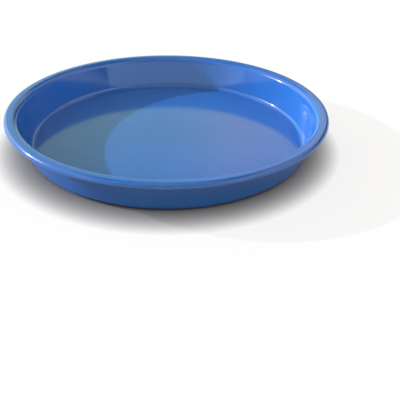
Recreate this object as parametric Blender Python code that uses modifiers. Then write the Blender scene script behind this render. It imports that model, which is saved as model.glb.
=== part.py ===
"""A shallow round ward dish, moulded in one piece of glossy blue plastic.

The dish is one turned solid: a flat floor, a flared side wall and a rounded rim with a turned-down lip.
It stands on a low foot ring, with its axis on Z and its underside at Z = 0. Lengths are in metres.
"""

import math

import bpy
from mathutils import Vector

# Rim
RIM_RADIUS = 0.1250
RIM_WIDTH = 0.0093
RIM_THICKNESS = 0.0021
RIM_OUTER_ROUND = 0.0028
RIM_INNER_ROUND = 0.0052
LIP_DEPTH = 0.0034
LIP_THICKNESS = 0.0021
LIP_EDGE_ROUND = 0.0004
UNDER_RIM_ROUND = 0.0030

# Side wall and floor
INSIDE_DEPTH = 0.0265
WALL_THICKNESS = 0.0021
WALL_FLARE = math.radians(14.0)
FLOOR_THICKNESS = 0.0016
FLOOR_ROUND = 0.0040
BASE_ROUND = 0.0060

# Underside: a foot ring, and the shallow dimple where the moulding gate was trimmed
FOOT_HEIGHT = 0.0005
FOOT_WIDTH = 0.0070
FOOT_BEVEL = 0.0010
GATE_RADIUS = 0.0030
GATE_DEPTH = 0.0003

# Finish
PLASTIC_BLUE = (0.020, 0.130, 0.560, 1.0)
PLASTIC_ROUGHNESS = 0.18

# Facets
TURN_STEPS = 96
CHORD_ERROR = 0.00004
MERGE_DISTANCE = 0.00001
ROOM_FOR_ROUNDS = 0.98


def clear_scene():
    """Remove every object, so that the dish is alone in the file."""
    for old in list(bpy.data.objects):
        bpy.data.objects.remove(old, do_unlink=True)


def plastic():
    """The glossy blue plastic of the whole dish."""
    material = bpy.data.materials.new("dish_plastic")
    material.use_nodes = True
    shader = material.node_tree.nodes["Principled BSDF"]
    shader.inputs["Base Color"].default_value = PLASTIC_BLUE
    shader.inputs["Roughness"].default_value = PLASTIC_ROUGHNESS
    shader.inputs["Metallic"].default_value = 0.0
    material.diffuse_color = PLASTIC_BLUE
    return material


def dish_corners():
    """The corners of the dish's half section, each as a point (radius, height) and its rounding radius.

    They run from the middle of the floor up the inside, over the rim, and down the outside to the middle
    of the underside.
    """
    floor_top = FOOT_HEIGHT + FLOOR_THICKNESS
    rim_top = floor_top + INSIDE_DEPTH
    slope = math.tan(WALL_FLARE)
    inner_wall_top = RIM_RADIUS - RIM_WIDTH
    wall_across = WALL_THICKNESS / math.cos(WALL_FLARE)

    def inner_wall(height):
        return inner_wall_top - (rim_top - height) * slope

    def outer_wall(height):
        return inner_wall(height) + wall_across

    rim_under = rim_top - RIM_THICKNESS
    lip_bottom = rim_top - LIP_DEPTH
    lip_inside = RIM_RADIUS - LIP_THICKNESS
    base_corner = outer_wall(0.0)
    base_tangent = BASE_ROUND / math.tan((math.pi / 2 + WALL_FLARE) / 2)
    foot_inside = base_corner - base_tangent - FOOT_WIDTH

    return [
        (Vector((0.0, floor_top)), 0.0),
        (Vector((inner_wall(floor_top), floor_top)), FLOOR_ROUND),
        (Vector((inner_wall_top, rim_top)), RIM_INNER_ROUND),
        (Vector((RIM_RADIUS, rim_top)), RIM_OUTER_ROUND),
        (Vector((RIM_RADIUS, lip_bottom)), LIP_EDGE_ROUND),
        (Vector((lip_inside, lip_bottom)), LIP_EDGE_ROUND),
        (Vector((lip_inside, rim_under)), LIP_EDGE_ROUND),
        (Vector((outer_wall(rim_under), rim_under)), UNDER_RIM_ROUND),
        (Vector((base_corner, 0.0)), BASE_ROUND),
        (Vector((foot_inside, 0.0)), 0.0),
        (Vector((foot_inside - FOOT_BEVEL, FOOT_HEIGHT)), 0.0),
        (Vector((GATE_RADIUS + GATE_DEPTH, FOOT_HEIGHT)), 0.0),
        (Vector((GATE_RADIUS, FOOT_HEIGHT + GATE_DEPTH)), 0.0),
        (Vector((0.0, FOOT_HEIGHT + GATE_DEPTH)), 0.0),
    ]


def turn_at(before, corner, after):
    """The angle between the two sides that meet at a corner."""
    return (before - corner).angle(after - corner)


def fitted_rounds(corners):
    """The rounding radii, made smaller where two of them would not fit on the side between them."""
    points = [point for point, _ in corners]
    tangents = [0.0] * len(corners)
    for i in range(1, len(corners) - 1):
        angle = turn_at(points[i - 1], points[i], points[i + 1])
        tangents[i] = corners[i][1] / math.tan(angle / 2)
    share = [1.0] * len(corners)
    for i in range(len(corners) - 1):
        needed = tangents[i] + tangents[i + 1]
        side = (points[i + 1] - points[i]).length * ROOM_FOR_ROUNDS
        if needed > side:
            share[i] = min(share[i], side / needed)
            share[i + 1] = min(share[i + 1], side / needed)
    return [radius * part for (_, radius), part in zip(corners, share)]


def rounded(before, corner, after, radius):
    """The points of a corner rounded by an arc that is tangent to both of its sides."""
    if radius <= CHORD_ERROR:
        return [corner]
    to_before = (before - corner).normalized()
    to_after = (after - corner).normalized()
    angle = turn_at(before, corner, after)
    centre = corner + (to_before + to_after).normalized() * radius / math.sin(angle / 2)
    start = corner + to_before * radius / math.tan(angle / 2) - centre
    sweep = start.angle_signed(corner + to_after * radius / math.tan(angle / 2) - centre)
    steps = math.ceil(abs(sweep) / (2 * math.acos(1 - CHORD_ERROR / radius)))
    arc = []
    for step in range(steps + 1):
        turned = -sweep * step / steps
        cos, sin = math.cos(turned), math.sin(turned)
        arc.append(centre + Vector((start.x * cos - start.y * sin, start.x * sin + start.y * cos)))
    return arc


def dish_outline():
    """The half section of the dish as a chain of points, with its corners rounded."""
    corners = dish_corners()
    rounds = fitted_rounds(corners)
    points = [point for point, _ in corners]
    outline = [points[0]]
    for i in range(1, len(points) - 1):
        outline += rounded(points[i - 1], points[i], points[i + 1], rounds[i])
    outline.append(points[-1])
    return outline


def turned_object(name, outline, material, collection):
    """An object turned about Z from its half section."""
    mesh = bpy.data.meshes.new(name)
    vertices = [(point.x, 0.0, point.y) for point in outline]
    edges = [(i, i + 1) for i in range(len(vertices) - 1)]
    mesh.from_pydata(vertices, edges, [])
    mesh.materials.append(material)
    turned = bpy.data.objects.new(name, mesh)
    collection.objects.link(turned)
    screw = turned.modifiers.new("turn", "SCREW")
    screw.axis = "Z"
    screw.angle = 2 * math.pi
    screw.steps = TURN_STEPS
    screw.render_steps = TURN_STEPS
    screw.use_merge_vertices = True
    screw.merge_threshold = MERGE_DISTANCE
    screw.use_smooth_shade = True
    return turned


def main():
    clear_scene()
    collection = bpy.data.collections.new("round_ward_dish")
    bpy.context.scene.collection.children.link(collection)
    turned_object("dish", dish_outline(), plastic(), collection)


main()
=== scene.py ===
"""The looks of the round ward dish: its moulded body, its glossy blue finish and a plain studio.

The file is laid out as a Blender add-on and run as a script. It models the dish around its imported
solid, in the same frame: metres, +Z up, with the underside of the dish at Z = 0.
"""

import math
from collections import namedtuple

import bmesh
import bpy
from bpy.props import FloatProperty, FloatVectorProperty, IntProperty, PointerProperty
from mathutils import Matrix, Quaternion, Vector


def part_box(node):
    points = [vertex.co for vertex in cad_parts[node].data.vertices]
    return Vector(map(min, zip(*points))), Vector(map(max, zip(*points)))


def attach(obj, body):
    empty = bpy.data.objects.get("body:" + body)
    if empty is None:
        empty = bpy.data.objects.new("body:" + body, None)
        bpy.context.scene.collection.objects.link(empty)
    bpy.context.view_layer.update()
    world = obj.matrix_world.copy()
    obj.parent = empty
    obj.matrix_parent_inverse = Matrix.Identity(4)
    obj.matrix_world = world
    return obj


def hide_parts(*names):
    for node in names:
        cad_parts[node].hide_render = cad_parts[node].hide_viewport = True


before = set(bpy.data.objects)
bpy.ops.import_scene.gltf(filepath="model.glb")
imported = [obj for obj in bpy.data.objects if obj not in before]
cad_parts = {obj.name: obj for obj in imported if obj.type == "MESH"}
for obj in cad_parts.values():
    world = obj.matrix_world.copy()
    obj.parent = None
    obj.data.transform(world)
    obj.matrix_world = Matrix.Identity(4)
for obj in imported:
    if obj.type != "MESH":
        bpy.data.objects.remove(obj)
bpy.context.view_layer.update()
_, DISH_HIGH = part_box("dish")
PANEL_TAB = "Ward Dish"

# Modelling and camera settings that nobody needs to change
SEED_SIZE = 0.01
MERGE_DISTANCE = 0.000002
SMOOTH_ANGLE = math.radians(20.0)
SENSOR_WIDTH = 36.0
CLIP_START = 0.01
CLIP_END = 100.0
CONTACT_SAMPLES = 16

# Noise patterns in the plastic, in repeats per metre
CLOUDS = 16.0
RUBBED_AREAS = 26.0
RUBBED_SPECKS = 210.0
SCRATCHED_AREAS = 38.0
ORANGE_PEEL = 420.0
UNDERSIDE_GRAIN = 2600.0

RELIEF_DEPTH = 0.00002
PLASTIC_IOR = 1.5

bl_info = {
    "name": "Round Ward Dish",
    "version": (1, 0, 0),
    "blender": (4, 5, 0),
    "location": "View3D > Sidebar > Ward Dish",
    "description": "Models a round moulded ward dish around its packed solid, and lights it in a studio",
    "category": "Add Mesh",
}


def length(name, description, default):
    """A size in metres, shown in the scene's unit."""
    return FloatProperty(name=name, description=description, default=default, unit="LENGTH", precision=5)


def colour(name, description, default):
    """A colour in linear light."""
    return FloatVectorProperty(name=name, description=description, default=default, subtype="COLOR",
                               min=0.0, max=1.0)


def share(name, description, default):
    """A plain number from 0 to 1."""
    return FloatProperty(name=name, description=description, default=default, subtype="FACTOR",
                         min=0.0, max=1.0)


class DishSizes(bpy.types.PropertyGroup):
    """The driving sizes of the dish's half section."""

    rim_radius: length("Rim radius", "From the axis to the outside of the rim", DISH_HIGH.x)
    rim_top: length("Rim top", "From the rest face up to the top of the rim", DISH_HIGH.z)
    rim_width: length("Rim width", "From the top of the inner wall out to the rim's edge", 0.0093)
    rim_thickness: length("Rim thickness", "Between the rim's top and its underside", 0.0021)
    rim_outer_round: length("Rim outer rounding", "Radius of the rim's outer shoulder", 0.0028)
    rim_inner_round: length("Rim inner rounding", "Radius from the rim down into the well", 0.0052)
    lip_depth: length("Lip depth", "How far the rim's edge turns down from the rim's top", 0.0034)
    lip_thickness: length("Lip thickness", "Wall of the turned-down lip", 0.0021)
    lip_edge_round: length("Lip edge rounding", "Radius on the edges of the lip", 0.0004)
    under_rim_round: length("Under-rim rounding", "Radius where the wall meets the rim's underside", 0.0030)
    inside_depth: length("Inside depth", "From the rim's top down to the floor of the well", 0.0265)
    wall_thickness: length("Wall thickness", "Thickness of the side wall", 0.0021)
    wall_flare: FloatProperty(name="Wall flare", description="Lean of the side wall from upright",
                              default=math.radians(14.0), subtype="ANGLE")
    floor_round: length("Floor rounding", "Radius from the floor of the well into the wall", 0.0040)
    base_round: length("Base rounding", "Radius from the wall to the rest face", 0.0060)
    foot_height: length("Foot height", "How far the foot ring stands below the floor's underside", 0.0005)
    foot_width: length("Foot width", "Flat width of the foot ring", 0.0070)
    foot_bevel: length("Foot bevel", "Slope inside the foot ring", 0.0010)
    foot_edge_round: length("Foot edge rounding", "Radius on the edges of that slope", 0.0003)
    gate_radius: length("Gate radius", "Radius of the trimmed gate's dimple", 0.0030)
    gate_depth: length("Gate depth", "Depth of the trimmed gate's dimple", 0.0003)
    gate_edge_round: length("Gate edge rounding", "Radius on the edges of the dimple", 0.0001)
    turn_steps: IntProperty(name="Turn steps", description="Facets around the dish", default=256, min=16)
    chord_error: length("Chord error", "How far a facet of a rounding may lie inside it", 0.000004)
    longest_span: length("Longest span", "Longest facet along a straight side", 0.0080)


class DishFinish(bpy.types.PropertyGroup):
    """The colour and surface of the dish's plastic."""

    plastic_blue: colour("Plastic blue", "Pigment of the plastic", (0.024, 0.128, 0.475))
    rubbed_blue: colour("Rubbed blue", "The plastic where handling has rubbed it", (0.050, 0.175, 0.500))
    pigment_drift: share("Pigment drift", "How far the pigment lightens and darkens", 0.05)
    gloss: share("Gloss roughness", "Roughness of the polished walls and rim", 0.06)
    floor_gloss: share("Floor roughness", "Roughness of the well's flat floor", 0.115)
    underside_gloss: share("Underside roughness", "Roughness of the grained underside", 0.34)
    smear_dulling: share("Smear dulling", "Roughness that wiping smears add", 0.035)
    scratch_dulling: share("Scratch dulling", "Roughness that hair scratches add", 0.16)
    rub_dulling: share("Rub dulling", "Roughness that rubbing adds on the rim and the foot ring", 0.10)


class StudioLook(bpy.types.PropertyGroup):
    """The floor, the lights and the camera around the dish."""

    floor_colour: colour("Floor colour", "What the floor shows of the lamps' light", (0.130, 0.134, 0.150))
    floor_size: length("Floor size", "Side of the square floor", 12.0)
    # The floor's glow is even only away from the dish. Near the dish, ambient occlusion darkens it into a
    # painted contact shadow that reaches as far as the reach below.
    floor_glow: share("Floor glow", "Even light of the floor, as it is seen", 0.83)
    floor_bounce: share("Floor bounce", "How much light the floor throws back on the dish", 0.26)
    painted_contact_shade_reach: length("Contact reach", "How far the contact shadow reaches out on the floor", 0.026)
    horizon: share("Horizon", "Light of the pale band around the horizon", 1.0)
    horizon_full: FloatProperty(name="Horizon full", description="Height up to which the band is brightest",
                                default=math.radians(5.2), subtype="ANGLE")
    horizon_end: FloatProperty(name="Horizon end", description="Height at which the band has faded out",
                               default=math.radians(6.4), subtype="ANGLE")
    dome_light: share("Dome light", "Light of the dome above the band, between the panels", 0.04)
    key_strength: FloatProperty(name="Key strength", description="Strength of the low key light",
                                default=3.75)
    key_angle: FloatProperty(name="Key angle", description="Width of the key light as the dish sees it",
                             default=math.radians(0.6), subtype="ANGLE")
    key_direction: FloatVectorProperty(name="Key direction", description="From the dish to the key light",
                                       default=(-0.901, 0.2625, 0.3456), subtype="DIRECTION")
    camera_place: FloatVectorProperty(name="Camera place", description="Where the camera stands",
                                      default=(0.0, -0.4026, 0.1948), subtype="TRANSLATION")
    camera_aim: FloatVectorProperty(name="Camera aim", description="The point the camera looks at",
                                    default=(0.02667, 0.0, -0.06194), subtype="TRANSLATION")
    camera_roll: FloatProperty(name="Camera roll", description="Turn of the camera about its line of sight",
                               default=math.radians(1.468), subtype="ANGLE")
    camera_lens: FloatProperty(name="Camera lens", description="Focal length on a 36 mm sensor",
                               default=48.75, unit="CAMERA")


Blend = namedtuple("Blend", "near far")

# Where one finish of the dish gives way to the next, in metres from the face that is named
UNDERSIDE_FROM_REST = Blend(0.0007, 0.0011)
FOOT_RING_FROM_REST = Blend(0.00005, 0.0002)
WELL_FLOOR_FROM_FLOOR = Blend(0.0004, 0.0012)
RIM_FROM_TOP = Blend(0.0006, 0.0026)
LIP_FROM_EDGE = Blend(0.0001, 0.0007)

Panel = namedtuple("Panel", "facing half_width low high side_edge end_edge light")

# The soft panels around the dish. Angles are in degrees: facing turns from +Y towards +X, low and high
# are heights above the horizon, and the edges are the widths over which a panel fades out.
STUDIO_PANELS = {
    "window": Panel(280, 50, 10, 58, 16, 14, (1.35, 1.20, 1.05)),
    "key_halo": Panel(283, 12, 17, 27, 18, 10, (11.6, 11.8, 12.4)),
    "back_card": Panel(-29, 33, 3, 33, 10, 4, (0.67, 0.92, 0.43)),
    "back_right_card": Panel(18, 14, 20, 34, 10, 8, (1.10, 0.97, 0.55)),
    "right_bank": Panel(55, 25, 26, 60, 10, 6, (1.15, 0.82, 0.60)),
    "right_fill": Panel(110, 28, 10, 50, 45, 10, (1.85, 1.65, 1.70)),
    "front_strip": Panel(187, 60, 5, 12, 4, 2, (1.22, 1.52, 1.40)),
    "front_card": Panel(180, 60, 12, 36, 20, 6, (0.60, 0.35, 0.05)),
    "front_bank": Panel(180, 54, 46, 56, 36, 4, (2.1, 2.3, 2.1)),
    "ceiling": Panel(0, 181, 74, 90, 1, 12, (1.1, 0.8, 0.35)),
}


class Wire:
    """A node socket that takes part in sums: each operator adds its Math node to the tree."""

    def __init__(self, tree, socket=None):
        self.tree = tree
        self.socket = socket

    def other(self, output):
        """Another output of the node that this socket belongs to."""
        return Wire(self.tree, self.socket.node.outputs[output])

    def node(self, kind, settings=(), inputs=(), output=0):
        """Add a node, set it up, feed its sockets with values or wires, and return one output as a wire."""
        made = self.tree.nodes.new(kind)
        for name, value in dict(settings).items():
            setattr(made, name, value)
        for name, value in dict(inputs).items():
            if isinstance(value, Wire):
                self.tree.links.new(value.socket, made.inputs[name])
            else:
                made.inputs[name].default_value = value
        return Wire(self.tree, made.outputs[output]) if made.outputs else None

    def sum(self, operation, *terms):
        """A Math node on these terms, in order."""
        return self.node("ShaderNodeMath", {"operation": operation}, enumerate(terms))

    def __add__(self, other):
        return self.sum("ADD", self, other)

    __radd__ = __add__

    def __sub__(self, other):
        return self.sum("SUBTRACT", self, other)

    def __rsub__(self, other):
        return self.sum("SUBTRACT", other, self)

    def __mul__(self, other):
        return self.sum("MULTIPLY", self, other)

    __rmul__ = __mul__

    def __truediv__(self, other):
        return self.sum("DIVIDE", self, other)

    def __rtruediv__(self, other):
        return self.sum("DIVIDE", other, self)

    def fade(self, low, high, to_low=0.0, to_high=1.0):
        """A smooth step from one value to another as this wire goes from low to high."""
        return self.node("ShaderNodeMapRange", {"interpolation_type": "SMOOTHSTEP"},
                         {"Value": self, "From Min": low, "From Max": high,
                          "To Min": to_low, "To Max": to_high})

    def within(self, blend):
        """1 where this wire is below the near end of a blend, 0 past its far end."""
        return self.fade(blend.far, blend.near)


def dish_corners(sizes):
    """The corners of the half section, each as radius, height and rounding.

    They run from the middle of the floor up the inside, over the rim, and down the outside to the
    middle of the underside.
    """
    floor_top = sizes.rim_top - sizes.inside_depth
    inner_wall_top = sizes.rim_radius - sizes.rim_width
    wall_across = sizes.wall_thickness / math.cos(sizes.wall_flare)

    def inner_wall(height):
        return inner_wall_top - (sizes.rim_top - height) * math.tan(sizes.wall_flare)

    def outer_wall(height):
        return inner_wall(height) + wall_across

    rim_under = sizes.rim_top - sizes.rim_thickness
    lip_bottom = sizes.rim_top - sizes.lip_depth
    lip_inside = sizes.rim_radius - sizes.lip_thickness
    base_tangent = sizes.base_round / math.tan((math.pi / 2 + sizes.wall_flare) / 2)
    foot_inside = outer_wall(0.0) - base_tangent - sizes.foot_width
    dimple_top = sizes.foot_height + sizes.gate_depth

    return [
        (0.0, floor_top, 0.0),
        (inner_wall(floor_top), floor_top, sizes.floor_round),
        (inner_wall_top, sizes.rim_top, sizes.rim_inner_round),
        (sizes.rim_radius, sizes.rim_top, sizes.rim_outer_round),
        (sizes.rim_radius, lip_bottom, sizes.lip_edge_round),
        (lip_inside, lip_bottom, sizes.lip_edge_round),
        (lip_inside, rim_under, sizes.lip_edge_round),
        (outer_wall(rim_under), rim_under, sizes.under_rim_round),
        (outer_wall(0.0), 0.0, sizes.base_round),
        (foot_inside, 0.0, sizes.foot_edge_round),
        (foot_inside - sizes.foot_bevel, sizes.foot_height, sizes.foot_edge_round),
        (sizes.gate_radius + sizes.gate_depth, sizes.foot_height, sizes.gate_edge_round),
        (sizes.gate_radius, dimple_top, sizes.gate_edge_round),
        (0.0, dimple_top, 0.0),
    ]


def select_points(obj, chosen):
    """In edit mode, select just the points that a test accepts."""
    bpy.ops.mesh.select_all(action="DESELECT")
    bpy.ops.mesh.select_mode(type="VERT")
    mesh = bmesh.from_edit_mesh(obj.data)
    for point in mesh.verts:
        point.select_set(chosen(point))
    mesh.select_flush_mode()
    bmesh.update_edit_mesh(obj.data)


def select_edges(obj, chosen):
    """In edit mode, select just the edges that a test accepts."""
    bpy.ops.mesh.select_all(action="DESELECT")
    bpy.ops.mesh.select_mode(type="EDGE")
    mesh = bmesh.from_edit_mesh(obj.data)
    for edge in mesh.edges:
        edge.select_set(chosen(edge))
    mesh.select_flush_mode()
    bmesh.update_edit_mesh(obj.data)


def draw_half_section(points):
    """Start a piece on the axis and extrude its half section from point to point."""
    bpy.ops.object.select_all(action="DESELECT")
    bpy.ops.mesh.primitive_plane_add(size=SEED_SIZE, location=(0.0, 0.0, 0.0))
    obj = bpy.context.object
    bpy.ops.object.mode_set(mode="EDIT")
    bpy.ops.mesh.select_mode(type="VERT")
    bpy.ops.mesh.merge(type="CENTER")
    bpy.ops.transform.translate(value=points[0])
    for before, after in zip(points, points[1:]):
        bpy.ops.mesh.extrude_region_move(TRANSFORM_OT_translate={"value": after - before})
    return obj


def round_corner(obj, before, corner, after, radius, chord_error):
    """Round one corner of the half section with an arc that is tangent to both of its sides."""
    angle = (before - corner).angle(after - corner)
    facet = 2 * math.acos(1 - chord_error / radius)
    nearest = min(bmesh.from_edit_mesh(obj.data).verts, key=lambda point: (point.co - corner).length)
    place = nearest.co.copy()
    select_points(obj, lambda point: point.co == place)
    bpy.ops.mesh.bevel(
        affect="VERTICES",
        offset_type="OFFSET",
        offset=radius / math.tan(angle / 2),
        segments=math.ceil((math.pi - angle) / facet),
        profile=0.5,
    )


def model_dish(sizes):
    """Model the dish: draw its half section, round the corners, and spin it about the axis."""
    corners = dish_corners(sizes)
    points = [Vector((radius, 0.0, height)) for radius, height, _ in corners]
    obj = draw_half_section(points)
    for i in range(1, len(points) - 1):
        round_corner(obj, points[i - 1], points[i], points[i + 1], corners[i][2], sizes.chord_error)

    longest = max(edge.calc_length() for edge in bmesh.from_edit_mesh(obj.data).edges)
    while longest > sizes.longest_span:
        select_edges(obj, lambda edge: edge.calc_length() > sizes.longest_span)
        bpy.ops.mesh.subdivide(number_cuts=1)
        longest = max(edge.calc_length() for edge in bmesh.from_edit_mesh(obj.data).edges)

    bpy.ops.mesh.select_all(action="SELECT")
    bpy.ops.mesh.spin(steps=sizes.turn_steps, angle=2 * math.pi, use_auto_merge=True,
                      center=(0.0, 0.0, 0.0), axis=(0.0, 0.0, 1.0))
    bpy.ops.mesh.select_all(action="SELECT")
    bpy.ops.mesh.remove_doubles(threshold=MERGE_DISTANCE)
    bpy.ops.mesh.normals_make_consistent(inside=False)
    bpy.ops.object.mode_set(mode="OBJECT")

    bpy.ops.object.shade_smooth_by_angle(angle=SMOOTH_ANGLE)
    bpy.ops.object.modifier_add(type="WEIGHTED_NORMAL")
    weighted = obj.modifiers[-1]
    weighted.keep_sharp = True
    bpy.ops.object.modifier_apply(modifier=weighted.name)
    return obj


def noise(pen, place, scale, detail):
    """Plain noise."""
    return pen.node("ShaderNodeTexNoise", {}, {"Vector": place, "Scale": scale, "Detail": detail})


def stretched_noise(pen, place, turn, stretch, detail, distortion=0.0):
    """Noise drawn out into streaks: its pattern is turned about Z and stretched along the turned X."""
    moved = pen.node("ShaderNodeMapping", {"vector_type": "POINT"},
                     {"Vector": place, "Rotation": (0.0, 0.0, turn), "Scale": stretch})
    return pen.node("ShaderNodeTexNoise", {"noise_dimensions": "3D"},
                    {"Vector": moved, "Scale": 1.0, "Detail": detail, "Distortion": distortion})


def hair_lines(pen, place, turn, stretch, width):
    """Broken hair lines: the places where a stretched noise crosses its middle, kept here and there."""
    streaks = stretched_noise(pen, place, turn, stretch, 1.0, 0.4)
    line = pen.sum("ABSOLUTE", streaks - 0.5).fade(width, 0.0)
    return line * noise(pen, place, SCRATCHED_AREAS, 2.0).fade(0.54, 0.66)


def dish_plastic(sizes, finish):
    """Glossy moulded plastic: drifting pigment, wiping smears, hair scratches and rubbed edges."""
    material = bpy.data.materials.new("blue_moulded_plastic")
    material.use_nodes = True
    material.node_tree.nodes.clear()
    pen = Wire(material.node_tree)
    place = pen.node("ShaderNodeTexCoord", output="Object")
    across = pen.node("ShaderNodeSeparateXYZ", inputs={"Vector": place}, output="X")
    along, height = across.other("Y"), across.other("Z")
    radius = pen.sum("SQRT", across * across + along * along)
    floor_top = sizes.rim_top - sizes.inside_depth

    # Where the parts of the dish are
    underside = height.within(UNDERSIDE_FROM_REST)
    foot_ring = height.within(FOOT_RING_FROM_REST)
    well_floor = (height - floor_top).within(WELL_FLOOR_FROM_FLOOR) * (1 - underside)
    rim = (sizes.rim_top - height).within(RIM_FROM_TOP)
    lip = (sizes.rim_radius - radius).within(LIP_FROM_EDGE)

    # Pigment: slow clouds, and faint flow streaks that run out from the gate
    clouds = noise(pen, place, CLOUDS, 3.0)
    from_gate = pen.node("ShaderNodeCombineXYZ", {}, {"X": across / radius * 7, "Y": along / radius * 7,
                                                      "Z": radius * 9})
    streaks = noise(pen, from_gate, 1.6, 2.0)
    drift = clouds * 0.6 + streaks * radius.fade(0.006, 0.05, 0.0, 0.4)
    drift = drift.fade(0.30, 0.70, -finish.pigment_drift, finish.pigment_drift)
    pigment = pen.node("ShaderNodeHueSaturation", {}, {"Value": drift + 1,
                                                       "Color": (*finish.plastic_blue, 1.0)})

    # Wear: the rim, the lip's edge and the foot ring are rubbed in patches
    specks = noise(pen, place, RUBBED_SPECKS, 4.0)
    areas = noise(pen, place, RUBBED_AREAS, 2.0)
    handled = pen.sum("MAXIMUM", rim * 0.35, lip * 0.7)
    rubbed = handled * areas.fade(0.48, 0.64) * specks.fade(0.46, 0.62)
    scuffed = foot_ring * specks.fade(0.36, 0.56)
    worn = pen.sum("MAXIMUM", rubbed, scuffed)
    blue = pen.node("ShaderNodeMix", {"data_type": "RGBA"},
                    {"Factor": worn * 0.6, "A": pigment, "B": (*finish.rubbed_blue, 1.0)}, output="Result")

    # Gloss: wiping smears everywhere, hair scratches on the floor of the well and under the foot
    wipes = stretched_noise(pen, place, math.radians(32), (11.0, 64.0, 30.0), 3.0, 0.6).fade(0.50, 0.72)
    crossing = stretched_noise(pen, place, math.radians(-48), (9.0, 52.0, 30.0), 3.0, 0.8)
    wipes = wipes + crossing.fade(0.54, 0.74)
    hairs = pen.sum("MAXIMUM", hair_lines(pen, place, math.radians(18), (7.0, 120.0, 1.0), 0.004),
                    hair_lines(pen, place, math.radians(-63), (6.0, 95.0, 1.0), 0.004))
    hairs = hairs * pen.sum("MAXIMUM", well_floor, underside)
    roughness = (finish.gloss + wipes * finish.smear_dulling + hairs * finish.scratch_dulling
                 + worn * finish.rub_dulling + well_floor * (finish.floor_gloss - finish.gloss)
                 + underside * (finish.underside_gloss - finish.gloss))

    # Relief: a trace of orange peel, the grain of the underside and the scratches
    peel = noise(pen, place, ORANGE_PEEL, 1.0)
    grain = noise(pen, place, UNDERSIDE_GRAIN, 2.0)
    relief = peel * 0.06 + grain * underside * 0.5 - hairs * 0.05
    bump = pen.node("ShaderNodeBump", {}, {"Height": relief, "Strength": 1.0, "Distance": RELIEF_DEPTH})
    surface = pen.node("ShaderNodeBsdfPrincipled", {}, {"Base Color": blue, "Roughness": roughness,
                                                        "IOR": PLASTIC_IOR, "Normal": bump})
    pen.node("ShaderNodeOutputMaterial", {}, {"Surface": surface})
    return material


class WARD_DISH_OT_dish(bpy.types.Operator):
    """Model the dish and give it its plastic"""

    bl_idname = "ward_dish.dish"
    bl_label = "Moulded dish"

    def execute(self, context):
        scene = context.scene
        dish = model_dish(scene.ward_dish_sizes)
        dish.name = "moulded_dish"
        dish.data.name = "moulded_dish"
        dish.data.materials.append(dish_plastic(scene.ward_dish_sizes, scene.ward_dish_finish))
        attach(dish, "root")
        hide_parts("dish")
        return {"FINISHED"}


class WARD_DISH_OT_stage(bpy.types.Operator):
    """Set up the studio: the floor, the light and the camera"""

    bl_idname = "ward_dish.stage"
    bl_label = "Studio stage"

    def execute(self, context):
        look = context.scene.ward_dish_studio
        add_floor(look)
        add_world(context.scene, look)
        add_key_light(look)
        add_camera(context.scene, look)
        context.scene.view_settings.view_transform = "Standard"
        return {"FINISHED"}


def add_floor(look):
    """A wide pale floor at the rest face. Its lit part keeps the dish's real shadow. Its glow is darkened
    near the dish by ambient occlusion, which paints a contact shadow there.
    """
    bpy.ops.object.select_all(action="DESELECT")
    bpy.ops.mesh.primitive_plane_add(size=look.floor_size, location=(0.0, 0.0, 0.0))
    floor = bpy.context.object
    floor.name = "studio_floor"
    material = bpy.data.materials.new("pale_floor_painted_contact_shade")
    material.use_nodes = True
    material.node_tree.nodes.clear()
    pen = Wire(material.node_tree)
    camera_ray = pen.node("ShaderNodeLightPath", output="Is Camera Ray")
    seen = pen.sum("MAXIMUM", camera_ray, camera_ray.other("Is Glossy Ray"))
    seen = pen.sum("MAXIMUM", seen, camera_ray.other("Is Transmission Ray"))
    # Painted contact shadow: the cube of the ambient occlusion darkens the floor's glow near the dish. The
    # camera sees this darkening, and so do the dish's reflections of the floor.
    contact = pen.node("ShaderNodeAmbientOcclusion", {"samples": CONTACT_SAMPLES},
                       {"Distance": look.painted_contact_shade_reach}, output="AO")
    lit = pen.node("ShaderNodeBsdfDiffuse", {}, {"Color": (*look.floor_colour, 1.0)})
    glow = pen.node("ShaderNodeEmission", {}, {"Strength": contact * contact * contact * look.floor_glow})
    pale = pen.node("ShaderNodeAddShader", {}, {0: lit, 1: glow})
    bounce = pen.node("ShaderNodeBsdfDiffuse", {}, {"Color": (*[look.floor_bounce] * 3, 1.0)})
    surface = pen.node("ShaderNodeMixShader", {}, {0: seen, 1: bounce, 2: pale})
    pen.node("ShaderNodeOutputMaterial", {}, {"Surface": surface})
    floor.data.materials.append(material)


def panel_light(pen, bearing, rise, panel):
    """The light of one soft panel, seen in a direction that is given by its bearing and its rise."""
    radians = math.radians
    aside = pen.sum("ARCCOSINE", pen.sum("COSINE", bearing - radians(panel.facing)))
    side, end = panel.side_edge / 2, panel.end_edge / 2
    inside = aside.fade(radians(panel.half_width + side), radians(panel.half_width - side))
    above = rise.fade(radians(panel.low - end), radians(panel.low + end))
    below = rise.fade(radians(panel.high + end), radians(panel.high - end))
    return pen.node("ShaderNodeVectorMath", {"operation": "SCALE"},
                    {"Vector": panel.light, "Scale": inside * above * below})


def add_world(scene, look):
    """The studio around the dish: a pale horizon and the soft panels above it."""
    world = bpy.data.worlds.new("studio_dome")
    scene.world = world
    world.use_nodes = True
    tree = world.node_tree
    tree.nodes.clear()
    pen = Wire(tree)
    direction = pen.node("ShaderNodeTexCoord", output="Generated")
    across = pen.node("ShaderNodeSeparateXYZ", inputs={"Vector": direction}, output="X")
    bearing = pen.sum("ARCTAN2", across, across.other("Y"))
    rise = pen.sum("ARCSINE", across.other("Z"))
    horizon = rise.fade(look.horizon_end, look.horizon_full, look.dome_light, look.horizon)
    light = pen.node("ShaderNodeCombineXYZ", {}, {"X": horizon, "Y": horizon, "Z": horizon})
    for panel in STUDIO_PANELS.values():
        light = pen.node("ShaderNodeVectorMath", {"operation": "ADD"},
                         {0: light, 1: panel_light(pen, bearing, rise, panel)})
    dome = pen.node("ShaderNodeBackground", {}, {"Color": light, "Strength": 1.0})
    pen.node("ShaderNodeOutputWorld", {}, {"Surface": dome})


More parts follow.
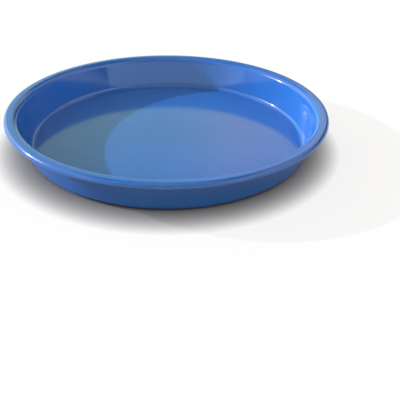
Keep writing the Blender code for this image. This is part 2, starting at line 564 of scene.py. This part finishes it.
def add_key_light(look):
    """A small, low key light from the left."""
    bpy.ops.object.light_add(type="SUN")
    key = bpy.context.object
    key.name = "key_light"
    key.rotation_euler = (-Vector(look.key_direction)).to_track_quat("-Z", "Y").to_euler()
    key.data.energy = look.key_strength
    key.data.angle = look.key_angle


def add_camera(scene, look):
    """The camera, at the place from which the dish shows as it should."""
    bpy.ops.object.camera_add(location=look.camera_place)
    camera = bpy.context.object
    camera.name = "studio_camera"
    sight = Vector(look.camera_aim) - Vector(look.camera_place)
    turn = sight.to_track_quat("-Z", "Y") @ Quaternion((0.0, 0.0, 1.0), look.camera_roll)
    camera.rotation_euler = turn.to_euler()
    camera.data.sensor_width = SENSOR_WIDTH
    camera.data.lens = look.camera_lens
    camera.data.clip_start = CLIP_START
    camera.data.clip_end = CLIP_END
    scene.camera = camera


class WARD_DISH_PT_panel(bpy.types.Panel):
    """The dish's operators and settings"""

    bl_idname = "WARD_DISH_PT_panel"
    bl_label = "Round ward dish"
    bl_space_type = "VIEW_3D"
    bl_region_type = "UI"
    bl_category = PANEL_TAB

    def draw(self, context):
        layout = self.layout
        for operator in (WARD_DISH_OT_dish, WARD_DISH_OT_stage):
            layout.operator(operator.bl_idname)
        for group in ("ward_dish_sizes", "ward_dish_finish", "ward_dish_studio"):
            settings = getattr(context.scene, group)
            box = layout.box()
            for name in settings.bl_rna.properties.keys():
                if name not in ("rna_type", "name"):
                    box.prop(settings, name)


CLASSES = (
    DishSizes,
    DishFinish,
    StudioLook,
    WARD_DISH_OT_dish,
    WARD_DISH_OT_stage,
    WARD_DISH_PT_panel,
)


def register():
    for cls in CLASSES:
        bpy.utils.register_class(cls)
    bpy.types.Scene.ward_dish_sizes = PointerProperty(type=DishSizes)
    bpy.types.Scene.ward_dish_finish = PointerProperty(type=DishFinish)
    bpy.types.Scene.ward_dish_studio = PointerProperty(type=StudioLook)


def unregister():
    del bpy.types.Scene.ward_dish_studio
    del bpy.types.Scene.ward_dish_finish
    del bpy.types.Scene.ward_dish_sizes
    for cls in reversed(CLASSES):
        bpy.utils.unregister_class(cls)


def main():
    register()
    bpy.ops.ward_dish.dish()
    bpy.ops.ward_dish.stage()


if __name__ == "__main__":
    main()
